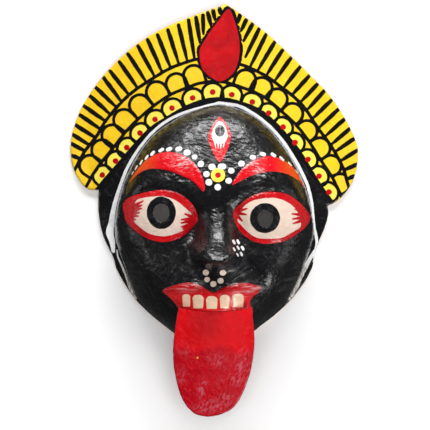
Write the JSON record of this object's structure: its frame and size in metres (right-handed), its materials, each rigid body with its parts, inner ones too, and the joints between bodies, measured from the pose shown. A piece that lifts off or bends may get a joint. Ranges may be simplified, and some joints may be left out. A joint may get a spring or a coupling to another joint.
{
  "type": "kali mask",
  "caption": "Hollow painted papier-mache face mask with a leaf-shaped crown, pierced pupils and a long hanging tongue, lying on its back",
  "frame": {"origin": "middle of the mask's outline, on the plane of its rim", "axes": "the mask lies on its back: +X to the viewer's right, +Y from the tongue to the crown tip, +Z out of the face"},
  "size_m": [0.2163, 0.3069, 0.0772],
  "materials": {
    "painted_shell": "glossy black, yellow, red and white enamel over papier-mache",
    "red_tongue": "glossy red enamel, scuffed"
  },
  "bodies": {
    "root": {"mask_shell": "painted_shell", "tongue": "red_tongue"}
  },
  "joints": []
}
